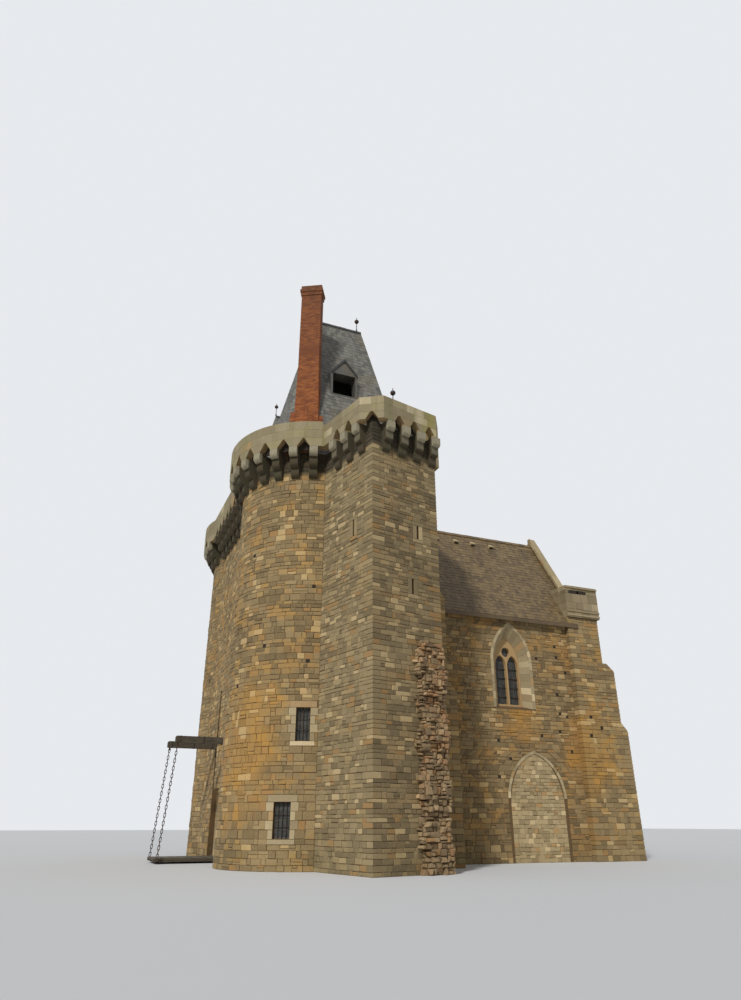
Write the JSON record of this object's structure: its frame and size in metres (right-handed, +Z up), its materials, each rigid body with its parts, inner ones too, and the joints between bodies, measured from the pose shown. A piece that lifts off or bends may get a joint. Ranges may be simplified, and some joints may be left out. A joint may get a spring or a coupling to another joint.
{
  "type": "castle keep",
  "caption": "Stone castle keep: twin round-fronted gate towers with machicolated parapets and slate roofs, a square stair turret, a lifting drawbridge and a gabled chapel.",
  "frame": {"origin": "middle of the footprint's box, at ground level", "axes": "+Z up; the gate and drawbridge face -X; the chapel runs towards +X; the stair turret is on the -Y side"},
  "size_m": [22.15, 22.7456, 28.967],
  "materials": {
    "stone": "weathered coursed granite",
    "pale_stone": "dressed granite",
    "slate": "pale blue-grey slates",
    "brown_slate": "old brown slates",
    "brick": "worn orange-red bricks",
    "timber": "weathered oak",
    "iron": "rusted wrought iron",
    "glass": "leaded glass"
  },
  "bodies": {
    "keep": {"near_tower_round_south": "stone", "near_tower_round_north": "stone", "near_tower_side_walls": "stone", "far_tower_round_south": "stone", "far_tower_round_north": "stone", "far_tower_side_walls": "stone", "back_wall": "stone", "gate_jambs": "stone", "gate_arch": "stone", "gate_slot_walls": "stone", "gate_upper_wall": "stone", "turret_side_walls": "stone", "turret_front_wall": "stone", "near_tower_parapet": "stone", "far_tower_parapet": "stone", "turret_parapet": "stone", "side_parapets": "stone", "near_tower_corbels": "pale_stone", "far_tower_corbels": "pale_stone", "turret_corbels": "pale_stone", "side_corbels": "pale_stone", "near_tower_roof": "slate", "far_tower_roof": "slate", "turret_roof": "slate", "roof_finials": "iron", "roof_dormers": "slate", "chimney_stack": "brick", "chimney_cap": "brick", "ground_floor": "stone", "timber_floors": "timber", "wall_walk": "stone", "chapel_south_wall": "stone", "chapel_north_wall": "stone", "chapel_gable_wall": "stone", "chapel_gable_coping": "pale_stone", "chapel_roof_south": "brown_slate", "chapel_roof_north": "brown_slate", "chapel_tracery": "pale_stone", "chapel_glass": "glass", "corner_piers": "stone", "corner_buttress": "stone", "fallen_wall_stub": "stone"},
    "arms": {"bridge_arms": "timber"},
    "deck": {"bridge_deck": "timber"},
    "chains": {"bridge_chains": "iron"}
  },
  "joints": [
    {"name": "arms_lift", "type": "hinge", "parent": "keep", "child": "arms", "pos_m": [-7.785, 1.63776, 4.97], "axis": [0, 1, 0], "range_deg": [0, 90]},
    {"name": "deck_lift", "type": "hinge", "parent": "keep", "child": "deck", "pos_m": [-8.145, 1.63776, 0.16], "axis": [0, 1, 0], "range_deg": [0, 90]},
    {"name": "chains_hang", "type": "hinge", "parent": "arms", "child": "chains", "pos_m": [-10.595, 1.63776, 4.97], "axis": [0, 1, 0], "range_deg": [-90, 0]}
  ],
  "couplings": [
    {"joint": "deck_lift", "follows": "arms_lift", "ratio": 1},
    {"joint": "chains_hang", "follows": "arms_lift", "ratio": -1}
  ]
}
